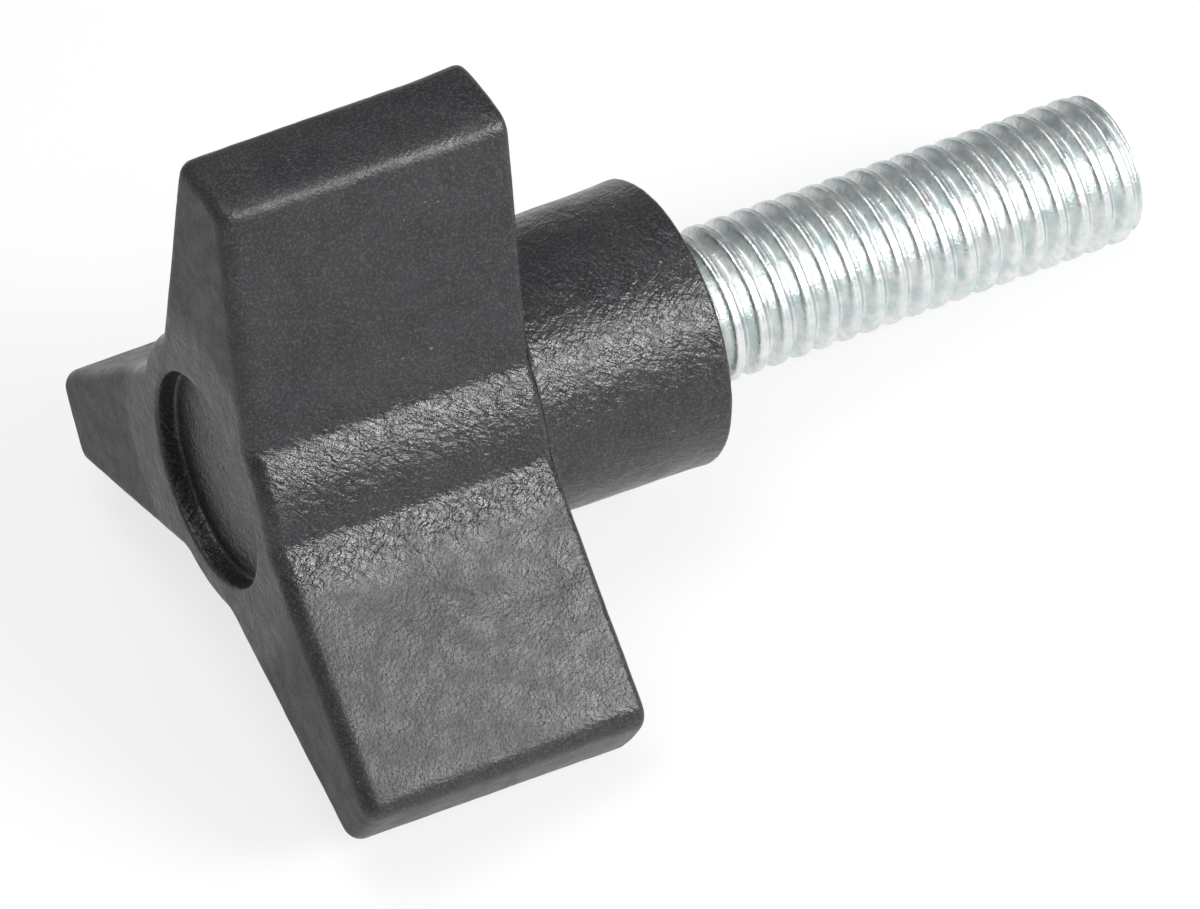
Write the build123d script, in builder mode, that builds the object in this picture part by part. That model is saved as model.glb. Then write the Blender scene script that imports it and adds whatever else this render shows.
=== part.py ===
"""Three-lobe thumb screw: a moulded knob with a threaded steel stud moulded into it.

Both pieces share one axis. Along it, zero is the bearing face, which is the
free end of the round hub: the head lies on the negative side, and the stud
stands out on the positive side.

The screw is drawn lying down, as it rests on a bench: on the back corners of
its two lower lobes and the end of its stud, with the third lobe up, in the XZ
plane. The origin is on the bench, under the middle of the screw's box.
"""

import os
from math import asin, atan2, cos, degrees, hypot, radians, sin, sqrt, tan

from build123d import *

# Driving dimensions, in millimetres and degrees.

# The lobed head, sized at its back face, where it is widest.
LOBE_DIAMETER = 45.5
LOBE_TIP_WIDTH = 6.2
LOBE_FLANK_LEAN = 10.8
HEAD_THICKNESS = 17.8
HEAD_DRAFT = 1.0
TIP_CORNER_RADIUS = 1.0
VALLEY_FILLET = 1.5
FRONT_EDGE_RADIUS = 1.0
BACK_EDGE_RADIUS = 0.5

# The round hub behind the head, sized at its bearing face.
HUB_DIAMETER = 17.8
HUB_LENGTH = 12.0
HUB_DRAFT = 1.0
HUB_EDGE_RADIUS = 0.3
VALLEY_STEP = 0.25

# The shallow round recess in the front face.
RECESS_DIAMETER = 13.0
RECESS_DEPTH = 1.3
RECESS_EDGE_RADIUS = 0.3

# The stud: a 3/8 inch thread, 16 to the inch, drawn as a cylinder over its crests.
STUD_DIAMETER = 9.48
STUD_LENGTH = 31.2
STUD_CHAMFER = 0.6

# The end of the stud that the plastic holds: a narrower shank, which starts just
# under the bearing face, then a neck and a hexagon.
SHANK_DIAMETER = 8.4
SHANK_START = 0.1
NECK_DEPTH = 11.5
NECK_DIAMETER = 7.6
NECK_LENGTH = 2.5
ANCHOR_THICKNESS = 5.5
ANCHOR_ACROSS_FLATS = 12.7
ANCHOR_CHAMFER = 0.5

LOBE_COUNT = 3
LOBE_PITCH = 360 / LOBE_COUNT

# Sizes that follow from them.
lobe_radius = LOBE_DIAMETER / 2
hub_radius = HUB_DIAMETER / 2
valley_radius = hub_radius + VALLEY_STEP
stud_radius = STUD_DIAMETER / 2
tip_half_width = LOBE_TIP_WIDTH / 2
tip_corner_reach = sqrt(lobe_radius**2 - tip_half_width**2)
anchor_depth = NECK_DEPTH + NECK_LENGTH


def lower_corner_drop() -> float:
    """Distance from the axis down to the lower corner of a lower lobe, at the head's back face."""
    lean = radians(LOBE_FLANK_LEAN)
    flank_offset = tip_corner_reach * sin(lean) + tip_half_width * cos(lean)
    centre_reach = lobe_radius - TIP_CORNER_RADIUS
    centre_angle = asin((flank_offset - TIP_CORNER_RADIUS) / centre_reach) - lean
    lobe_above_ground = radians(LOBE_PITCH / 2)
    return centre_reach * cos(lobe_above_ground - centre_angle) + TIP_CORNER_RADIUS


def rest_dip() -> float:
    """Angle in degrees by which the axis dips towards the stud's end when the screw lies at rest."""
    fall = lower_corner_drop() - BACK_EDGE_RADIUS - stud_radius
    span = HUB_LENGTH + BACK_EDGE_RADIUS + STUD_LENGTH - STUD_CHAMFER
    return degrees(atan2(fall, span) + asin(BACK_EDGE_RADIUS / hypot(fall, span)))


def bearing_plane(centre=(0, 0, 0)) -> Plane:
    """Plane of the bearing face: its normal runs out along the stud, its x towards the upper lobe."""
    dip = radians(rest_dip())
    return Plane(origin=centre, x_dir=(sin(dip), 0, cos(dip)), z_dir=(cos(dip), 0, -sin(dip)))


def build_stud(bearing: Plane) -> BuildPart:
    """The stud: threaded length, shank in the hub, neck, and a hexagon that can't turn or pull out."""
    axis = Axis(bearing.origin, bearing.z_dir)
    profile_plane = Plane(origin=bearing.origin, x_dir=bearing.x_dir, z_dir=-bearing.y_dir)
    with BuildPart() as stud:
        with BuildSketch(profile_plane):
            with BuildLine():
                Polyline(
                    (0, -anchor_depth),
                    (NECK_DIAMETER / 2, -anchor_depth),
                    (NECK_DIAMETER / 2, -NECK_DEPTH),
                    (SHANK_DIAMETER / 2, -NECK_DEPTH),
                    (SHANK_DIAMETER / 2, -SHANK_START),
                    (stud_radius, -SHANK_START),
                    (stud_radius, STUD_LENGTH - STUD_CHAMFER),
                    (stud_radius - STUD_CHAMFER, STUD_LENGTH),
                    (0, STUD_LENGTH),
                    close=True,
                )
            make_face()
        revolve(axis=axis)
        with BuildSketch(bearing.offset(-anchor_depth)):
            RegularPolygon(ANCHOR_ACROSS_FLATS / 2, 6, major_radius=False)
        extrude(amount=-ANCHOR_THICKNESS)
        chamfer(stud.edges().group_by(axis)[0], ANCHOR_CHAMFER)
    return stud


def build_knob(bearing: Plane, stud: BuildPart) -> BuildPart:
    """The knob: lobed head, round hub and front recess in one moulding, closed round the stud."""
    axis = Axis(bearing.origin, bearing.z_dir)
    back = bearing.offset(-HUB_LENGTH)
    front = back.offset(-HEAD_THICKNESS)
    root_half_width = tip_half_width + tip_corner_reach * tan(radians(LOBE_FLANK_LEAN))
    with BuildPart() as knob:
        with BuildSketch(back) as outline:
            Circle(valley_radius)
            with BuildLine():
                tip = ThreePointArc(
                    (tip_corner_reach, -tip_half_width),
                    (lobe_radius, 0),
                    (tip_corner_reach, tip_half_width),
                )
                Polyline(tip @ 1, (0, root_half_width), (0, -root_half_width), tip @ 0)
            lobe = make_face(mode=Mode.PRIVATE)
            with PolarLocations(0, LOBE_COUNT):
                add(lobe)
            corners = outline.vertices().sort_by(lambda v: v.center().length)
            fillet(corners[-2 * LOBE_COUNT :], TIP_CORNER_RADIUS)
            valleys = outline.vertices().sort_by(lambda v: v.center().length)
            fillet(valleys[: 2 * LOBE_COUNT], VALLEY_FILLET)
        extrude(amount=-HEAD_THICKNESS, taper=HEAD_DRAFT)
        fillet(knob.faces().sort_by(axis)[0].edges(), FRONT_EDGE_RADIUS)
        fillet(knob.faces().sort_by(axis)[-1].edges(), BACK_EDGE_RADIUS)

        with BuildSketch(bearing):
            Circle(hub_radius)
        extrude(amount=-HUB_LENGTH, taper=HUB_DRAFT)
        fillet(knob.edges().group_by(axis)[-1], HUB_EDGE_RADIUS)

        with BuildSketch(front):
            Circle(RECESS_DIAMETER / 2)
        extrude(amount=RECESS_DEPTH, mode=Mode.SUBTRACT)
        recess_mouth = knob.edges().filter_by(GeomType.CIRCLE).group_by(axis)[0]
        fillet(recess_mouth, RECESS_EDGE_RADIUS)
        add(stud.part, mode=Mode.SUBTRACT)
    return knob


def laid_down() -> Plane:
    """Bearing plane of the screw at rest, with the bottom centre of its box at the origin."""
    trial = bearing_plane()
    trial_stud = build_stud(trial)
    trial_knob = build_knob(trial, trial_stud)
    box = Compound([trial_knob.part, trial_stud.part]).bounding_box()
    return bearing_plane((-box.center().X, 0, -box.min.Z))


os.makedirs("parts", exist_ok=True)
bearing = laid_down()

stud = build_stud(bearing)
stud.part.label = "stud"
export_step(stud.part, "parts/stud.step")

knob = build_knob(bearing, stud)
knob.part.label = "knob"
export_step(knob.part, "parts/knob.step")
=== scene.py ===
"""Visual model of a three-lobe thumb screw: black moulded knob, zinc-plated threaded stud."""

import logging
from dataclasses import dataclass, field
from enum import Enum
from math import acos, cos, hypot, pi, radians, sin, sqrt, tan

import bmesh
import bpy
from mathutils import Matrix, Vector, noise


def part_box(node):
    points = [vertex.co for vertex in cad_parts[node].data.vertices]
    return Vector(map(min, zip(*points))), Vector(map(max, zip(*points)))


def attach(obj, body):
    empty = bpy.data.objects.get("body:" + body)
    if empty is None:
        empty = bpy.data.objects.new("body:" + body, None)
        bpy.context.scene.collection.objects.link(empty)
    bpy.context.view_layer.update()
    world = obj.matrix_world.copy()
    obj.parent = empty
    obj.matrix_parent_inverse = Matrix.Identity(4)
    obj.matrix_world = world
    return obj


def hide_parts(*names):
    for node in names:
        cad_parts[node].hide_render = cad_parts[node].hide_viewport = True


log = logging.getLogger("thumb_screw")
MM = 0.001
AXIS = Vector((0, 0, 1))
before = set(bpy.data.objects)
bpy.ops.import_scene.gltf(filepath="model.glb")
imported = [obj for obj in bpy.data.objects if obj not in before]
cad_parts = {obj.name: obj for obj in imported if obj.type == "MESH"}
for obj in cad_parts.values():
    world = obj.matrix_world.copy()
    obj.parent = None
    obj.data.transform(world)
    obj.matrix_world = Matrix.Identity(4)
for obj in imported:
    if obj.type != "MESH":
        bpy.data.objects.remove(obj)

Mesh = bmesh.types.BMesh
Vert = bmesh.types.BMVert
Edge = bmesh.types.BMEdge
Face = bmesh.types.BMFace
Socket = bpy.types.NodeSocket
Triple = tuple[float, float, float]
Ring = tuple[float, float]


class Slot(Enum):
    """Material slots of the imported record."""

    PLASTIC = "black_plastic"
    STEEL = "zinc_plated_steel"


class Node(Enum):
    """CAD nodes that the visual pieces stand for."""

    KNOB = "knob"
    STUD = "stud"


# ---------------------------------------------------------------- placement


@dataclass(frozen=True)
class RestingPose:
    """Where the screw's own axes lie: zero is the bearing face, z runs out along the stud.

    The screw rests on the back corners of two lobes and on the rim of its stud's end, so its
    axis dips towards the stud. Sizes are in millimetres.
    """

    dip: float = radians(11.84556)
    stud_length: float = 31.2
    stud_radius: float = 4.74
    stud_chamfer: float = 0.6

    def matrix(self) -> Matrix:
        """Transform from the screw's own axes, in millimetres, to the shared frame, in metres.

        Returns:
            The transform, placed by the box of the CAD stud.
        """
        low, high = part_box(Node.STUD.value)
        up = Vector((sin(self.dip), 0, cos(self.dip)))
        near = Vector((0, -1, 0))
        out = Vector((cos(self.dip), 0, -sin(self.dip)))
        rim = self.stud_radius - self.stud_chamfer
        reach = self.stud_length * cos(self.dip) + rim * sin(self.dip)
        drop = (
            (self.stud_length - self.stud_chamfer) * sin(self.dip)
            + self.stud_radius * cos(self.dip)
        )
        origin = Vector((high.x - reach * MM, (low.y + high.y) / 2, low.z + drop * MM))
        turn = Matrix((up, near, out)).transposed().to_4x4()
        return Matrix.Translation(origin) @ turn @ Matrix.Scale(MM, 4)


# ---------------------------------------------------------------- mesh tools


def arc(bm: Mesh, vert: Vert, centre: Vector, angle: float, steps: int) -> Vert:
    """Draws an arc from a vertex, turning about an axis parallel to z.

    Args:
        bm: Mesh to draw in.
        vert: Where the arc starts.
        centre: Centre of the turn.
        angle: Signed turn in radians.
        steps: Number of edges.

    Returns:
        The vertex at the arc's end.
    """
    made = bmesh.ops.spin(bm, geom=[vert], cent=centre, axis=AXIS, angle=angle, steps=steps)
    return made["geom_last"][0]


def run(bm: Mesh, vert: Vert, end: Vector, steps: int) -> Vert:
    """Draws a straight run of edges from a vertex.

    Args:
        bm: Mesh to draw in.
        vert: Where the run starts.
        end: Where it ends.
        steps: Number of edges.

    Returns:
        The vertex at the run's end.
    """
    stride = (end - vert.co) / steps
    for _ in range(steps):
        vert = bmesh.ops.extrude_vert_indiv(bm, verts=[vert])["verts"][0]
        bmesh.ops.translate(bm, verts=[vert], vec=stride)
    return vert


def raise_cap(bm: Mesh, cap: Face) -> Face:
    """Extrudes a cap in place, leaving a new ring of quads under it, and returns the new cap."""
    return bmesh.ops.extrude_discrete_faces(bm, faces=[cap])["faces"][0]


def ring_to(bm: Mesh, cap: Face, z: float, radius: float) -> Face:
    """Adds one round ring to a turned shape.

    Args:
        bm: Mesh to work in.
        cap: Round cap at the shape's end.
        z: Height of the new ring.
        radius: Its radius.

    Returns:
        The new cap.
    """
    cap = raise_cap(bm, cap)
    first = cap.verts[0].co
    growth = radius / hypot(first.x, first.y)
    bmesh.ops.translate(bm, verts=list(cap.verts), vec=(0, 0, z - first.z))
    bmesh.ops.scale(bm, verts=list(cap.verts), vec=(growth, growth, 1))
    return cap


def rounded(start: Ring, end: Ring, steps: int, bulge_first: bool) -> list[Ring]:
    """Quarter-round between two (height, size) pairs.

    Args:
        start: Height and size where it starts.
        end: Height and size where it ends.
        steps: Number of rings.
        bulge_first: True if height changes first and size last.

    Returns:
        The pairs after the start, the end among them.
    """
    pairs = []
    for step in range(1, steps + 1):
        turn = step / steps * pi / 2
        early, late = sin(turn), 1 - cos(turn)
        a, b = (early, late) if bulge_first else (late, early)
        pairs.append((start[0] + (end[0] - start[0]) * a, start[1] + (end[1] - start[1]) * b))
    return pairs


def eased(height: float, share: float) -> float:
    """Part of a height reached at a share of the way, with a soft start and end."""
    return height * share * share * (3 - 2 * share)


def piece_from(bm: Mesh, name: str, place: Matrix) -> bpy.types.Object:
    """Turns a finished bmesh into an object whose place is in its mesh.

    Args:
        bm: Mesh in the screw's own axes. It is freed.
        name: Name of the piece.
        place: Transform to the shared frame.

    Returns:
        The linked object, at the origin.
    """
    bmesh.ops.transform(bm, matrix=place, verts=bm.verts)
    bmesh.ops.recalc_face_normals(bm, faces=bm.faces)
    mesh = bpy.data.meshes.new(name)
    bm.to_mesh(mesh)
    bm.free()
    mesh.shade_smooth()
    piece = bpy.data.objects.new(name, mesh)
    bpy.context.scene.collection.objects.link(piece)
    return piece


# ---------------------------------------------------------------- materials


class Shader:
    """A node material under construction, in the screw's own axes in millimetres."""

    def __init__(self, name: str, place: Matrix) -> None:
        """Starts a material whose pattern coordinates are the screw's own.

        Args:
            name: Name of the material.
            place: Transform from the screw's own axes to the shared frame.
        """
        self.material = bpy.data.materials.new(name)
        self.material.use_nodes = True
        self.nodes = self.material.node_tree.nodes
        self.links = self.material.node_tree.links
        self.surface = self.nodes["Principled BSDF"]
        coords = self.nodes.new("ShaderNodeTexCoord")
        inverse = place.inverted()
        moved = self.nodes.new("ShaderNodeMapping")
        moved.inputs["Location"].default_value = inverse.translation
        moved.inputs["Rotation"].default_value = inverse.to_euler("XYZ")
        moved.inputs["Scale"].default_value = (1 / MM,) * 3
        self.link(coords.outputs["Object"], moved.inputs["Vector"])
        self.own = moved.outputs["Vector"]

    def link(self, source: Socket, target: Socket) -> None:
        """Links two sockets."""
        self.links.new(source, target)

    def put(self, value: float | tuple[float, ...] | Socket, socket: Socket) -> None:
        """Sets a socket to a value, or links it if the value is itself a socket.

        Args:
            value: Number, colour or source socket.
            socket: Socket to feed.
        """
        if isinstance(value, Socket):
            self.link(value, socket)
        else:
            socket.default_value = value

    def math(self, kind: str, a: float | Socket, b: float | Socket = 0.0) -> Socket:
        """One arithmetic step.

        Args:
            kind: Name of the Math node's operation.
            a: First value.
            b: Second value.

        Returns:
            The result's socket.
        """
        node = self.nodes.new("ShaderNodeMath")
        node.operation = kind
        self.put(a, node.inputs[0])
        self.put(b, node.inputs[1])
        return node.outputs[0]

    def ramp(
        self, value: Socket, low: float, high: float, to_low: float = 0.0, to_high: float = 1.0
    ) -> Socket:
        """Smooth step of a value from one range to another.

        Args:
            value: Value to map.
            low: Value that gives to_low.
            high: Value that gives to_high.
            to_low: Result at low and beyond.
            to_high: Result at high and beyond.

        Returns:
            The mapped value's socket.
        """
        node = self.nodes.new("ShaderNodeMapRange")
        node.interpolation_type = "SMOOTHSTEP"
        self.link(value, node.inputs["Value"])
        limits = {"From Min": low, "From Max": high, "To Min": to_low, "To Max": to_high}
        for name, number in limits.items():
            node.inputs[name].default_value = number
        return node.outputs["Result"]

    def stretched(self, scale: Triple, turn: Triple) -> Socket:
        """The screw's own coordinates, turned and then stretched.

        Args:
            scale: Factor on each turned axis; a small one makes long streaks.
            turn: Turn in degrees.

        Returns:
            The coordinates' socket.
        """
        turned = self.nodes.new("ShaderNodeMapping")
        turned.vector_type = "POINT"
        turned.inputs["Rotation"].default_value = [radians(a) for a in turn]
        self.link(self.own, turned.inputs["Vector"])
        scaled = self.nodes.new("ShaderNodeMapping")
        scaled.inputs["Scale"].default_value = scale
        self.link(turned.outputs["Vector"], scaled.inputs["Vector"])
        return scaled.outputs["Vector"]

    def grain(
        self, per_mm: float, detail: float, rough: float, distortion: float = 0.0,
        vector: Socket | None = None,
    ) -> Socket:
        """Noise between 0 and 1.

        Args:
            per_mm: Features per millimetre.
            detail: Octaves.
            rough: Weight of the finer octaves.
            distortion: Warp.
            vector: Coordinates, or the screw's own.

        Returns:
            The noise's socket.
        """
        node = self.nodes.new("ShaderNodeTexNoise")
        node.inputs["Scale"].default_value = per_mm
        node.inputs["Detail"].default_value = detail
        node.inputs["Roughness"].default_value = rough
        node.inputs["Distortion"].default_value = distortion
        self.link(vector or self.own, node.inputs["Vector"])
        return node.outputs["Fac"]

    def tint(self, amount: Socket, low: Triple | Socket, high: Triple) -> Socket:
        """Blend of two colours.

        Args:
            amount: Share of the second colour.
            low: First colour.
            high: Second colour.

        Returns:
            The colour's socket.
        """
        node = self.nodes.new("ShaderNodeMix")
        node.data_type = "RGBA"
        self.link(amount, node.inputs["Factor"])
        self.put((*low, 1) if isinstance(low, tuple) else low, node.inputs[6])
        self.put((*high, 1), node.inputs[7])
        return node.outputs[2]

    def emboss(self, height: Socket, depth: float, under: Socket | None = None) -> Socket:
        """Bump from a height between 0 and 1.

        Args:
            height: Height.
            depth: Relief in millimetres.
            under: Normal from a coarser relief.

        Returns:
            The normal's socket.
        """
        node = self.nodes.new("ShaderNodeBump")
        node.inputs["Strength"].default_value = 1.0
        node.inputs["Distance"].default_value = depth * MM
        self.link(height, node.inputs["Height"])
        if under is not None:
            self.link(under, node.inputs["Normal"])
        return node.outputs["Normal"]


@dataclass(frozen=True)
class MouldedPlastic:
    """Charcoal glass-filled plastic with a leathery, slightly glossy moulded skin."""

    dark: Triple = (0.011, 0.0108, 0.0128)
    light: Triple = (0.020, 0.0198, 0.0228)
    warm: Triple = (0.026, 0.0225, 0.0215)
    dust: Triple = (0.105, 0.104, 0.113)
    fleck: Triple = (0.11, 0.050, 0.030)
    speck: Triple = (0.26, 0.25, 0.24)
    gloss_low: float = 0.25
    gloss_high: float = 0.36
    flow_centre: Triple = (2.09, 8.40, -16.0)
    flow_radius: float = 7.6
    flow_relief: float = 0.04
    leather_relief: float = 0.10
    pebble_relief: float = 0.040
    pit_relief: float = 0.014
    matt_lobes: float = 0.14
    matt_face: float = 0.13

    def dress(self, place: Matrix) -> bpy.types.Material:
        """Builds the material.

        Args:
            place: Transform from the screw's own axes.

        Returns:
            The material.
        """
        s = Shader(Slot.PLASTIC.value, place)
        split = s.nodes.new("ShaderNodeSeparateXYZ")
        s.link(s.own, split.inputs[0])
        x, y, z = split.outputs
        reach = s.math("SQRT", s.math("ADD", s.math("MULTIPLY", x, x), s.math("MULTIPLY", y, y)))
        core = s.ramp(reach, 9.8, 12.0, 1.0, 0.0)
        back = s.ramp(z, -21.0, -14.0)
        wrinkled = s.math("MAXIMUM", core, s.math("MULTIPLY", back, 0.35))
        face = s.ramp(z, -29.3, -29.75)

        mottled = s.grain(0.45, 4.0, 0.6)
        cloudy = s.grain(0.13, 2.0, 0.5)
        skin = s.tint(s.ramp(mottled, 0.30, 0.72), self.dark, self.light)
        skin = s.tint(s.math("MULTIPLY", s.ramp(cloudy, 0.42, 0.62), 0.35), skin, self.warm)
        skin = s.tint(s.math("MULTIPLY", face, 0.55), skin, self.warm)
        grit = s.math("MULTIPLY", s.ramp(s.grain(6.2, 3.0, 0.7), 0.47, 0.66), 0.40)
        skin = s.tint(grit, skin, self.dust)
        worn = s.ramp(s.grain(0.9, 3.0, 0.6, 0.4), 0.735, 0.775, 0.0, 0.75)
        skin = s.tint(worn, skin, self.fleck)
        dusty = s.ramp(s.grain(3.1, 1.0, 0.5), 0.785, 0.81, 0.0, 0.6)
        skin = s.tint(dusty, skin, self.speck)
        s.link(skin, s.surface.inputs["Base Color"])

        gloss = s.ramp(s.grain(0.8, 3.0, 0.6, 0.3), 0.3, 0.7, self.gloss_low, self.gloss_high)
        matt = s.math("MULTIPLY", s.math("SUBTRACT", 1.0, wrinkled), self.matt_lobes)
        matt = s.math("ADD", matt, s.math("MULTIPLY", face, self.matt_face))
        s.link(s.math("ADD", gloss, matt), s.surface.inputs["Roughness"])
        s.surface.inputs["Specular IOR Level"].default_value = 0.5

        slanted = s.grain(1.0, 3.0, 0.55, 0.8, s.stretched((2.6, 0.9, 1.1), (35, 20, 30)))
        creased = s.grain(1.0, 2.0, 0.5, 0.5, s.stretched((1.4, 3.6, 1.2), (-20, 30, 10)))
        leather = s.math("ADD", slanted, s.math("MULTIPLY", creased, 0.6))
        pebbles = s.grain(4.8, 2.0, 0.6)
        pits = s.grain(6.5, 1.0, 0.5)
        leather = s.math("MULTIPLY", leather, s.ramp(wrinkled, 0.0, 1.0, 0.14, 1.0))
        pebbles = s.math("MULTIPLY", pebbles, s.ramp(wrinkled, 0.0, 1.0, 1.0, 0.7))
        waves = s.emboss(leather, self.leather_relief)
        bumps = s.emboss(pebbles, self.pebble_relief, waves)
        flowed = s.emboss(self.flow_line(s, y), self.flow_relief, bumps)
        normal = s.emboss(pits, self.pit_relief, flowed)
        s.link(normal, s.surface.inputs["Normal"])
        return s.material

    def flow_line(self, s: Shader, y: Socket) -> Socket:
        """The curved line where two fronts of plastic met on the near lower flank.

        Args:
            s: Material under construction.
            y: Coordinate towards the near side.

        Returns:
            Height, 1 on the skin and lower in the line.
        """
        away = s.nodes.new("ShaderNodeVectorMath")
        away.operation = "DISTANCE"
        s.link(s.own, away.inputs[0])
        away.inputs[1].default_value = self.flow_centre
        wobble = s.math("MULTIPLY", s.grain(0.35, 2.0, 0.5), 1.2)
        distance = s.math("ADD", away.outputs["Value"], wobble)
        near_edge = s.ramp(distance, self.flow_radius, self.flow_radius + 0.45)
        far_edge = s.ramp(distance, self.flow_radius + 0.5, self.flow_radius + 1.7)
        groove = s.math("SUBTRACT", near_edge, far_edge)
        shown = s.math("MULTIPLY", groove, s.ramp(y, 11.2, 12.8))
        return s.math("SUBTRACT", 1.0, shown)


@dataclass(frozen=True)
class ZincPlate:
    """Bright zinc plating over rolled steel: metallic, finely speckled, a little blue-green."""

    cool: Triple = (0.63, 0.70, 0.70)
    pale: Triple = (0.83, 0.84, 0.82)
    gloss_low: float = 0.30
    gloss_high: float = 0.44
    relief: float = 0.03

    def dress(self, place: Matrix) -> bpy.types.Material:
        """Builds the material.

        Args:
            place: Transform from the screw's own axes.

        Returns:
            The material.
        """
        s = Shader(Slot.STEEL.value, place)
        tone = s.tint(s.ramp(s.grain(0.9, 4.0, 0.65), 0.34, 0.66), self.cool, self.pale)
        s.link(tone, s.surface.inputs["Base Color"])
        s.surface.inputs["Metallic"].default_value = 1.0
        gloss = s.ramp(s.grain(2.2, 3.0, 0.6), 0.3, 0.7, self.gloss_low, self.gloss_high)
        s.link(gloss, s.surface.inputs["Roughness"])
        drawn = s.emboss(s.grain(1.6, 3.0, 0.6, 0.6), self.relief)
        speckled = s.emboss(s.grain(5.5, 2.0, 0.6), self.relief, drawn)
        s.link(speckled, s.surface.inputs["Normal"])
        return s.material


# ---------------------------------------------------------------- knob


@dataclass
class Dent:
    """A shallow sink mark in one flank, in the screw's own axes."""

    centre: Vector
    towards: Vector
    long_axis: Vector
    length: float
    width: float
    depth: float
    skin_band: float = 1.2

    def press(self, point: Vector) -> Vector:
        """Moves a point into the mark.

        Args:
            point: Point on the skin.

        Returns:
            The moved point.
        """
        offset = point - self.centre
        if abs(offset.dot(self.towards)) > self.skin_band:
            return point
        across = self.towards.cross(self.long_axis)
        lengthwise = offset.dot(self.long_axis) / self.length
        spread = hypot(lengthwise, offset.dot(across) / self.width)
        if spread >= 1:
            return point
        return point - self.towards * (self.depth * (1 - spread * spread) ** 2)


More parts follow.
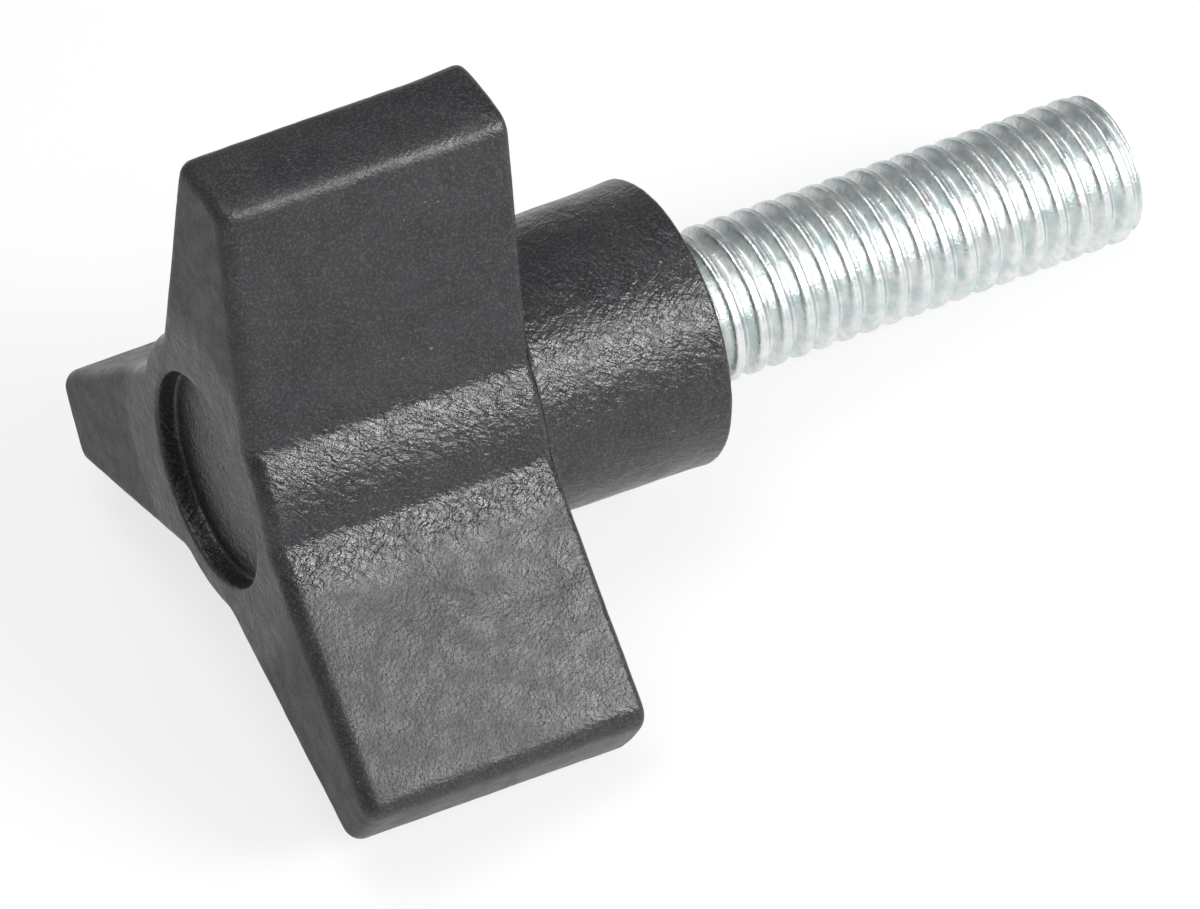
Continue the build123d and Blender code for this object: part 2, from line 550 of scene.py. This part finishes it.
@dataclass
class Knob:
    """Three-lobe head, round hub, shallow front recess and bore, in one moulding. Millimetres.

    Its sizes are the CAD's, but for the tip corners: they have to be rounder than the draft and
    the front rounding together take off, or the outline folds over itself there.
    """

    place: Matrix
    lobes: int = 3
    lobe_radius: float = 22.75
    tip_half_width: float = 3.1
    lean: float = radians(10.8)
    valley_radius: float = 9.15
    corner: float = 1.5
    fillet: float = 1.5
    draft: float = radians(1.0)
    hub_draft: float = radians(1.0)
    head_back: float = -12.0
    head_front: float = -29.8
    back_round: float = 0.5
    front_round: float = 1.0
    slab: float = 0.1
    side_rings: int = 24
    crowding: float = 1.15
    lip: float = 0.04
    lip_length: float = 3.4
    kick: float = 0.12
    kick_from: float = 19.0
    kick_fade: float = 2.0
    hub_radius: float = 8.9
    hub_round: float = 0.3
    hub_rings: int = 16
    hub_flare: float = 0.05
    flare_length: float = 0.8
    recess_radius: float = 6.5
    recess_depth: float = 1.3
    recess_round: float = 0.3
    floor_round: float = 0.2
    floor_loop: float = 0.55
    bore_radius: float = 4.78
    bore_round: float = 0.15
    bore_depth: float = 14.0
    pocket_radius: float = 7.35
    pocket_round: float = 0.1
    pocket_depth: float = 19.6
    ripple: float = 0.035
    ripple_seed: int = 1
    finish: MouldedPlastic = field(default_factory=MouldedPlastic)

    def flank_offset(self) -> float:
        """Distance from the axis to the line of a straight flank."""
        reach = sqrt(self.lobe_radius**2 - self.tip_half_width**2)
        return reach * sin(self.lean) + self.tip_half_width * cos(self.lean)

    def outline(self, bm: Mesh) -> Face:
        """Draws the head's widest outline as one flat face at height zero.

        One half of a lobe is drawn with arcs and a straight flank, then mirrored and repeated.

        Args:
            bm: Empty mesh to draw in.

        Returns:
            The face.
        """
        facing = pi / 2 - self.lean
        normal = Vector((cos(facing), sin(facing), 0))
        flank = self.flank_offset()
        fillet_reach = self.valley_radius + self.fillet
        valley_turn = facing - acos((flank + self.fillet) / fillet_reach)
        fillet_centre = Vector((cos(valley_turn), sin(valley_turn), 0)) * fillet_reach
        corner_reach = self.lobe_radius - self.corner
        corner_turn = facing - acos((flank - self.corner) / corner_reach)
        corner_centre = Vector((cos(corner_turn), sin(corner_turn), 0)) * corner_reach

        middle = pi / self.lobes
        vert = bm.verts.new(Vector((cos(middle), sin(middle), 0)) * self.valley_radius)
        vert = arc(bm, vert, Vector(), valley_turn - middle, 4)
        vert = arc(bm, vert, fillet_centre, facing - valley_turn, 4)
        vert = run(bm, vert, corner_centre + normal * self.corner, 15)
        vert = arc(bm, vert, corner_centre, corner_turn - facing, 5)
        vert = arc(bm, vert, Vector(), -corner_turn, 3)
        bmesh.ops.mirror(bm, geom=bm.verts[:] + bm.edges[:], axis="Y", merge_dist=1e-5)
        sector = 2 * pi / self.lobes
        bmesh.ops.spin(
            bm, geom=bm.verts[:] + bm.edges[:], cent=(0, 0, 0), axis=AXIS,
            angle=sector * (self.lobes - 1), steps=self.lobes - 1, use_duplicate=True,
        )
        bmesh.ops.remove_doubles(bm, verts=bm.verts, dist=1e-4)
        return bmesh.ops.contextual_create(bm, geom=bm.edges[:])["faces"][0]

    def inward(self, z: float) -> float:
        """How far draft and the moulded lip bring the head's side inside its widest outline.

        Args:
            z: Height of the station.

        Returns:
            The inward offset.
        """
        depth = self.head_back - z
        fade = min(depth / self.lip_length, 1)
        return depth * tan(self.draft) + eased(self.lip, fade)

    def sweep(self, bm: Mesh, cap: Face, inward: float, stations: list[Ring]) -> Face:
        """Carries the lobed outline through a list of heights.

        Args:
            bm: Mesh to work in.
            cap: Lobed cap at the sweep's start.
            inward: Offset that the cap already has.
            stations: Height and inward offset of each ring.

        Returns:
            The new cap.
        """
        height = cap.verts[0].co.z
        for z, offset in stations:
            bmesh.ops.inset_region(
                bm, faces=[cap], thickness=offset - inward, depth=abs(z - height),
                use_boundary=True, use_even_offset=True,
            )
            height, inward = z, offset
        return cap

    def to_circle(self, bm: Mesh, cap: Face, radius: float, steps: int) -> Face:
        """Draws a lobed cap in to a round one, in its own plane.

        Args:
            bm: Mesh to work in.
            cap: Lobed cap.
            radius: Radius of the round cap.
            steps: Number of rings.

        Returns:
            The round cap.
        """
        start = [v.co.copy() for v in cap.verts]
        count = len(start)
        tip = max(range(count), key=lambda i: start[i].x)
        after = start[(tip + 1) % count]
        sense = 1 if after.y > start[tip].y else -1
        goal = []
        for i, point in enumerate(start):
            angle = sense * 2 * pi * (i - tip) / count
            goal.append(Vector((radius * cos(angle), radius * sin(angle), point.z)))
        order = {point[:]: i for i, point in enumerate(start)}
        for step in range(1, steps + 1):
            cap = raise_cap(bm, cap)
            moved = {}
            for vert in cap.verts:
                i = order[vert.co[:]]
                vert.co = start[i].lerp(goal[i], step / steps)
                moved[vert.co[:]] = i
            order = moved
        return cap

    def press_marks(self, bm: Mesh) -> None:
        """Presses sink marks into the flanks and lets edges and faces wander a little.

        Args:
            bm: The knob's mesh.
        """
        lobe = 2 * pi / self.lobes
        facing = lobe - pi / 2 + self.lean
        normal = Vector((cos(facing), sin(facing), 0))
        base = normal * (self.flank_offset() - 0.25)
        tangent = Vector((-normal.y, normal.x, 0))
        marks = [
            Dent(
                centre=base + tangent * 12.6 + AXIS * -17.0, towards=normal,
                long_axis=(tangent * 0.2 + AXIS).normalized(), length=4.6, width=3.4, depth=0.07,
            ),
            Dent(
                centre=base + tangent * 10.2 + AXIS * -23.5, towards=normal,
                long_axis=AXIS, length=3.6, width=3.0, depth=0.07,
            ),
        ]
        noise.seed_set(self.ripple_seed)
        for vert in bm.verts:
            for mark in marks:
                vert.co = mark.press(vert.co)
            if vert.co.x > self.kick_from and vert.co.z < self.head_back:
                fade = min((self.head_back - vert.co.z) / self.lip_length, 1)
                outer = min(1, (vert.co.x - self.kick_from) / self.kick_fade)
                vert.co.x -= eased(self.kick, fade) * outer
            wander = noise.noise_vector(vert.co * 0.16 + Vector((3.1, 7.7, 1.3)))
            if hypot(vert.co.x, vert.co.y) > self.bore_radius + 2:
                vert.co += Vector((wander.x, wander.y, wander.z * 0.4)) * self.ripple

    def head(self, bm: Mesh) -> tuple[Face, Face]:
        """Models the lobed head between its two ends.

        Args:
            bm: Empty mesh to work in.

        Returns:
            The front and the back cap, both still lobed.
        """
        back = self.outline(bm)
        widest = self.head_back - self.back_round
        bmesh.ops.translate(bm, verts=bm.verts, vec=(0, 0, widest))
        slab = bmesh.ops.extrude_face_region(bm, geom=[back], use_keep_orig=True)["geom"]
        front = next(f for f in slab if isinstance(f, Face))
        bmesh.ops.translate(bm, verts=list(front.verts), vec=(0, 0, -self.slab))
        bmesh.ops.recalc_face_normals(bm, faces=bm.faces)

        start = widest - self.slab
        flat = self.head_front + self.front_round
        heights = [
            start + (flat - start) * (i / self.side_rings) ** self.crowding
            for i in range(1, self.side_rings + 1)
        ]
        stations = [(z, self.inward(z)) for z in heights]
        edge = (flat, self.inward(flat))
        stations += rounded(edge, (self.head_front, edge[1] + self.front_round), 6, True)
        front = self.sweep(bm, front, self.inward(start), stations)
        stations = rounded((widest, 0.0), (self.head_back, self.back_round), 4, True)
        return front, self.sweep(bm, back, 0.0, stations)

    def recess(self, bm: Mesh, front: Face) -> None:
        """Sinks the shallow round recess into the front face.

        Args:
            bm: Mesh to work in.
            front: Lobed front cap.
        """
        mouth = self.recess_radius + self.recess_round
        foot = self.head_front + self.recess_round
        floor = self.head_front + self.recess_depth
        front = self.to_circle(bm, front, mouth, 7)
        for z, r in rounded((self.head_front, mouth), (foot, self.recess_radius), 3, False):
            front = ring_to(bm, front, z, r)
        bend = (floor - self.floor_round, self.recess_radius)
        for z in (floor - self.floor_loop, bend[0]):
            front = ring_to(bm, front, z, self.recess_radius)
        for z, r in rounded(bend, (floor, self.recess_radius - self.floor_round), 2, True):
            front = ring_to(bm, front, z, r)
        for share in (0.93, 0.82, 0.7, 0.57, 0.44, 0.3, 0.17, 0.07):
            front = ring_to(bm, front, floor, self.recess_radius * share)

    def hub(self, bm: Mesh, back: Face) -> Face:
        """Draws the round hub out of the head's back, as far as the bore's mouth.

        Args:
            bm: Mesh to work in.
            back: Lobed back cap.

        Returns:
            Cap at the bore's mouth.
        """
        neck = self.hub_radius + self.head_back * tan(self.hub_draft)
        back = self.to_circle(bm, back, neck, 4)
        for i in range(1, self.hub_rings + 1):
            z = self.head_back + (-self.hub_round - self.head_back) * i / self.hub_rings
            flare = self.hub_flare * max(0.0, 1 - abs(z + self.hub_round) / self.flare_length)
            radius = self.hub_radius + z * tan(self.hub_draft) + flare - self.hub_flare
            back = ring_to(bm, back, z, radius)
        brink, rim = (-self.hub_round, self.hub_radius), (0.0, self.hub_radius - self.hub_round)
        for z, r in rounded(brink, rim, 4, True):
            back = ring_to(bm, back, z, r)
        for r in (7.9, 7.0, 6.1, 5.4, self.bore_radius + self.bore_round):
            back = ring_to(bm, back, 0.0, r)
        return back

    def bore(self, bm: Mesh, back: Face) -> None:
        """Hollows the bore and the wider pocket that the stud's anchor fills.

        Args:
            bm: Mesh to work in.
            back: Cap at the bore's mouth.
        """
        bore, pocket, step = self.bore_radius, self.pocket_radius, self.pocket_round
        roof, end = -self.bore_depth, -self.pocket_depth
        mouth = (0.0, bore + self.bore_round)
        for z, r in rounded(mouth, (-self.bore_round, bore), 2, False):
            back = ring_to(bm, back, z, r)
        for z, r in (
            (-4.0, bore), (-9.0, bore), (roof + step, bore), (roof, bore + step),
            (roof, pocket - step), (roof - step, pocket), (end + step, pocket),
            (end, pocket - step), (end, 2.0),
        ):
            back = ring_to(bm, back, z, r)

    def build(self) -> bpy.types.Object:
        """Models and dresses the knob.

        Returns:
            The knob's object.
        """
        bm = bmesh.new()
        front, back = self.head(bm)
        self.recess(bm, front)
        self.bore(bm, self.hub(bm, back))
        self.press_marks(bm)
        piece = piece_from(bm, "moulded_knob", self.place)
        self.soften(piece)
        piece.data.materials.append(self.finish.dress(self.place))
        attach(piece, "root")
        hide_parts(Node.KNOB.value)
        log.info("%s: %d faces before smoothing", piece.name, len(piece.data.polygons))
        return piece

    def soften(self, piece: bpy.types.Object) -> None:
        """Smooths the skin and gives it the slight unevenness of a thick moulding.

        Args:
            piece: The knob's object.
        """
        smooth = piece.modifiers.new("skin", "SUBSURF")
        smooth.levels = smooth.render_levels = 1
        smooth.use_limit_surface = False
        for name, size, strength in (("swell", 3.2, 0.05), ("leather", 0.85, 0.035)):
            pattern = bpy.data.textures.new(name, "CLOUDS")
            pattern.noise_scale = size * MM
            pattern.noise_depth = 1
            push = piece.modifiers.new(name, "DISPLACE")
            push.texture = pattern
            push.texture_coords = "LOCAL"
            push.strength = strength * MM
            push.mid_level = 0.7


# ---------------------------------------------------------------- stud


@dataclass
class Stud:
    """Rolled right-hand thread of 16 to the inch, with the neck and hexagon hidden in the hub."""

    place: Matrix
    crest: float = 4.74
    pitch: float = 1.5875
    length: float = 31.2
    chamfer: float = 0.6
    crest_station: float = 0.905
    neck_depth: float = 11.5
    neck_radius: float = 3.8
    neck_length: float = 2.5
    anchor_flats: float = 12.7
    anchor_thickness: float = 5.5
    around: int = 120
    shear: float = 0.18
    rim_zone: float = 1.5
    rim_gap: float = 0.05
    finish: ZincPlate = field(default_factory=ZincPlate)

    def profile(self) -> list[Ring]:
        """One pitch of the thread, from root to root.

        Returns:
            Share of the pitch from the crest, and depth below it.
        """
        half = [
            (0.045, 0.015), (0.10, 0.0), (0.155, 0.03), (0.21, 0.11),
            (0.265, 0.245), (0.33, 0.425), (0.39, 0.585), (0.445, 0.70),
        ]
        return [(-0.5, 0.74)] + [(-s, d) for s, d in reversed(half)] + [(0.0, 0.03)] + half

    def thread(self, bm: Mesh) -> None:
        """Winds the profile along the whole stud, then cuts its ends.

        Args:
            bm: Mesh to work in.
        """
        turns = int((self.length + self.neck_depth) / self.pitch) + 4
        first = -self.neck_depth - 2 * self.pitch
        first += (self.crest_station - first) % self.pitch
        previous = None
        for turn in range(turns):
            for share, depth in self.profile():
                vert = bm.verts.new((self.crest - depth, 0, first + (turn + share) * self.pitch))
                if previous:
                    bm.edges.new((previous, vert))
                previous = vert
        bmesh.ops.spin(
            bm, geom=bm.verts[:] + bm.edges[:], cent=(0, 0, 0), axis=AXIS,
            dvec=AXIS * (self.pitch / self.around), angle=2 * pi, steps=self.around,
        )
        bmesh.ops.remove_doubles(bm, verts=bm.verts, dist=1e-3)
        self.trim(bm)

    def trim(self, bm: Mesh) -> None:
        """Cuts the thread square at the neck and slightly out of square at its rounded end.

        Args:
            bm: Mesh with the thread.
        """
        start = -self.neck_depth
        cut = Vector((self.shear * 0.3, self.shear * 0.12, 1)).normalized()
        top = Vector((0, 0, self.length))
        for co, no in ((Vector((0, 0, start)), -AXIS), (top, cut)):
            made = bmesh.ops.bisect_plane(
                bm, geom=bm.verts[:] + bm.edges[:] + bm.faces[:], plane_co=co, plane_no=no,
                clear_outer=True, dist=1e-5,
            )
            rim = [e for e in made["geom_cut"] if isinstance(e, Edge)]
            bmesh.ops.contextual_create(bm, geom=rim)
        for vert in bm.verts:
            below = (top - vert.co).dot(cut)
            if below < self.rim_zone:
                bend = max(0.0, 1 - below / (self.chamfer * 1.3)) ** 1.6
                limit = self.crest - self.chamfer * bend - self.rim_gap
                radius = hypot(vert.co.x, vert.co.y)
                if radius > limit:
                    vert.co.xy *= limit / radius

    def build(self) -> bpy.types.Object:
        """Models and dresses the stud.

        Returns:
            The stud's object.
        """
        bm = bmesh.new()
        self.thread(bm)
        neck = Matrix.Translation((0, 0, -self.neck_depth - self.neck_length / 2))
        bmesh.ops.create_cone(
            bm, cap_ends=True, segments=48, radius1=self.neck_radius, radius2=self.neck_radius,
            depth=self.neck_length + 0.2, matrix=neck,
        )
        centre = -self.neck_depth - self.neck_length - self.anchor_thickness / 2
        corner = self.anchor_flats / 2 / cos(pi / 6) - 0.05
        hexagon = bmesh.ops.create_cone(
            bm, cap_ends=True, segments=6, radius1=corner, radius2=corner,
            depth=self.anchor_thickness,
            matrix=Matrix.Translation((0, 0, centre)) @ Matrix.Rotation(pi / 6, 4, "Z"),
        )
        edges = {e for v in hexagon["verts"] for e in v.link_edges}
        bmesh.ops.bevel(
            bm, geom=list(edges), offset=0.4, affect="EDGES", segments=3, profile=0.5, material=-1
        )
        piece = piece_from(bm, "threaded_stud", self.place)
        piece.data.materials.append(self.finish.dress(self.place))
        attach(piece, "root")
        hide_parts(Node.STUD.value)
        log.info("%s: %d faces", piece.name, len(piece.data.polygons))
        return piece


# ---------------------------------------------------------------- studio


@dataclass(frozen=True)
class Softbox:
    """A square area lamp aimed at the screw. Metres and watts."""

    name: str
    stand: Vector
    size: float
    watts: float

    def hang(self, aim: Vector) -> None:
        """Places the lamp.

        Args:
            aim: Point that it faces.
        """
        lamp = bpy.data.lights.new(self.name, "AREA")
        lamp.size, lamp.energy = self.size, self.watts
        holder = bpy.data.objects.new(self.name, lamp)
        holder.location = self.stand
        holder.rotation_euler = (aim - self.stand).to_track_quat("-Z", "Y").to_euler()
        bpy.context.scene.collection.objects.link(holder)


@dataclass
class Studio:
    """White table, soft lamps, plain surroundings and a long-lens camera."""

    target: Vector = field(default_factory=lambda: Vector((-6.463, -3.105, 6.414)) * MM)
    distance: float = 0.354
    heading: float = radians(18.72)
    elevation: float = radians(48.39)
    roll: float = radians(13.65)
    lens: float = 180.0
    floor_half: float = 1.5
    floor_colour: Triple = (0.95, 0.95, 0.95)
    floor_glow: float = 0.75
    surround: Triple = (0.27, 0.275, 0.285)
    lamps: list[Softbox] = field(default_factory=lambda: [
        Softbox("main_softbox", Vector((0.225, -0.315, 0.250)), 0.16, 2.1),
        Softbox("overhead_softbox", Vector((-0.03, 0.03, 0.52)), 0.30, 1.1),
    ])

    def camera(self) -> None:
        """Sets up the camera."""
        flat = cos(self.elevation)
        ahead = Vector((sin(self.heading) * flat, cos(self.heading) * flat, -sin(self.elevation)))
        level = Vector((cos(self.heading), -sin(self.heading), 0))
        rise = level.cross(ahead)
        right = level * cos(self.roll) - rise * sin(self.roll)
        up = rise * cos(self.roll) + level * sin(self.roll)
        data = bpy.data.cameras.new("camera")
        data.lens, data.sensor_width = self.lens, 36.0
        data.clip_start, data.clip_end = 0.01, 10
        camera = bpy.data.objects.new("camera", data)
        turn = Matrix((right, up, -ahead)).transposed().to_4x4()
        camera.matrix_world = Matrix.Translation(self.target - ahead * self.distance) @ turn
        bpy.context.scene.collection.objects.link(camera)
        bpy.context.scene.camera = camera

    def table(self) -> None:
        """Lays the white table, which reads white to the eye and keeps the shadow."""
        bm = bmesh.new()
        bmesh.ops.create_grid(bm, x_segments=2, y_segments=2, size=self.floor_half)
        mesh = bpy.data.meshes.new("table_top")
        bm.to_mesh(mesh)
        bm.free()
        table = bpy.data.objects.new("table_top", mesh)
        bpy.context.scene.collection.objects.link(table)
        material = bpy.data.materials.new("white_table")
        material.use_nodes = True
        nodes, links = material.node_tree.nodes, material.node_tree.links
        nodes.clear()
        out = nodes.new("ShaderNodeOutputMaterial")
        matt = nodes.new("ShaderNodeBsdfDiffuse")
        matt.inputs["Color"].default_value = (*self.floor_colour, 1)
        glow = nodes.new("ShaderNodeEmission")
        glow.inputs["Strength"].default_value = 1.0
        path = nodes.new("ShaderNodeLightPath")
        seen = path.outputs["Is Camera Ray"]
        for ray in ("Is Glossy Ray", "Is Transmission Ray"):
            either = nodes.new("ShaderNodeMath")
            either.operation = "MAXIMUM"
            links.new(seen, either.inputs[0])
            links.new(path.outputs[ray], either.inputs[1])
            seen = either.outputs[0]
        share = nodes.new("ShaderNodeMath")
        share.operation = "MULTIPLY"
        share.inputs[1].default_value = self.floor_glow
        links.new(seen, share.inputs[0])
        mix = nodes.new("ShaderNodeMixShader")
        links.new(share.outputs[0], mix.inputs[0])
        links.new(matt.outputs[0], mix.inputs[1])
        links.new(glow.outputs[0], mix.inputs[2])
        links.new(mix.outputs[0], out.inputs["Surface"])
        table.data.materials.append(material)

    def surroundings(self) -> None:
        """Sets the plain light from all round and the colour management."""
        world = bpy.data.worlds.new("studio")
        world.use_nodes = True
        world.node_tree.nodes["Background"].inputs["Color"].default_value = (*self.surround, 1)
        bpy.context.scene.world = world
        bpy.context.scene.view_settings.view_transform = "Standard"

    def build(self) -> None:
        """Sets up everything round the screw."""
        self.camera()
        self.table()
        self.surroundings()
        for lamp in self.lamps:
            lamp.hang(Vector((0, 0, 0.01)))
            log.info("%s hung", lamp.name)


def main() -> None:
    """Builds the studio and the screw's two pieces."""
    logging.basicConfig(level=logging.INFO, format="%(name)s: %(message)s")
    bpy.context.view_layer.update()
    Studio().build()
    place = RestingPose().matrix()
    Knob(place).build()
    Stud(place).build()


if __name__ == "__main__":
    main()
